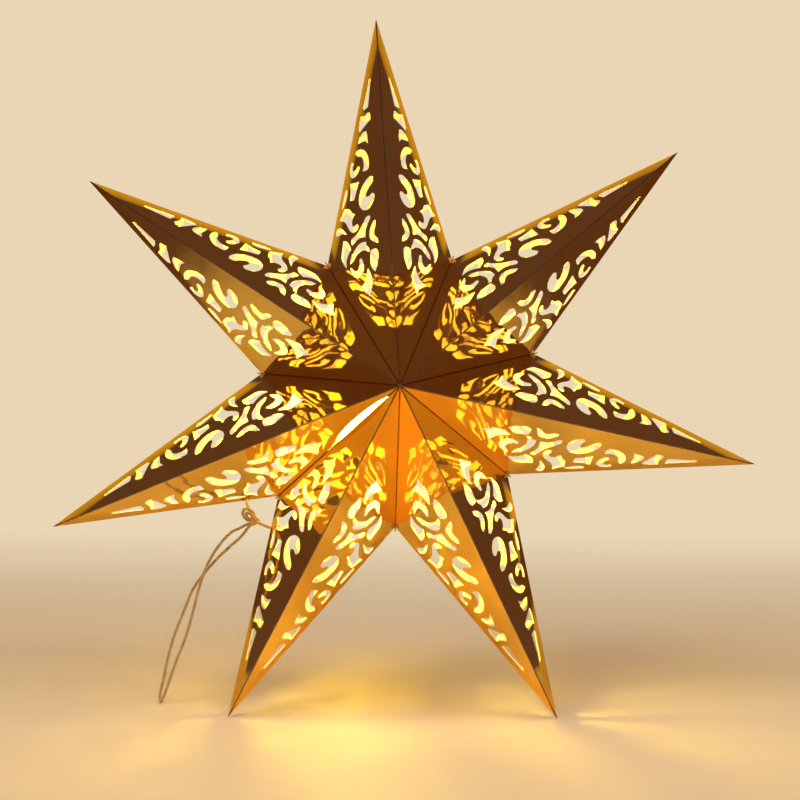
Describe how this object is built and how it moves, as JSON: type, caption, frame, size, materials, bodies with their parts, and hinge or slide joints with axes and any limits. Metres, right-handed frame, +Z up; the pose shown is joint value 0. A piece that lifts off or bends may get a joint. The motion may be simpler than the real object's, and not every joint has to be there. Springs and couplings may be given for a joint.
{
  "type": "folded paper star lantern",
  "caption": "Folded star lantern of mirror-faced card with scrollwork cut-outs, lit by a bulb inside and hung by a twine loop tied to its open seam.",
  "frame": {"origin": "on the table under the middle of the star's box, midway between the outermost tips at left and right and in the plane of the tips", "axes": "+Z up, +Y away from the viewer of the front, so the front middle points along -Y"},
  "size_m": [0.586, 0.252, 0.5829],
  "materials": {
    "foil_card": "gold-bronze mirror foil on the outside, white paper on the inside",
    "holder_plastic": "moulded off-white plastic",
    "opal_bulb": "opal glass, lit warm white",
    "twine": "twisted two-strand jute twine"
  },
  "bodies": {
    "root": {"point_1": "foil_card", "point_2": "foil_card", "point_3": "foil_card", "point_4": "foil_card", "point_5": "foil_card", "point_6": "foil_card", "point_7": "foil_card", "lamp_holder": "holder_plastic", "bulb": "opal_bulb", "lower_tie_knot": "twine", "upper_tie_knot": "twine", "lower_tie_cord": "twine", "upper_tie_cord": "twine", "main_knot": "twine", "hanging_cord": "twine"}
  },
  "joints": []
}
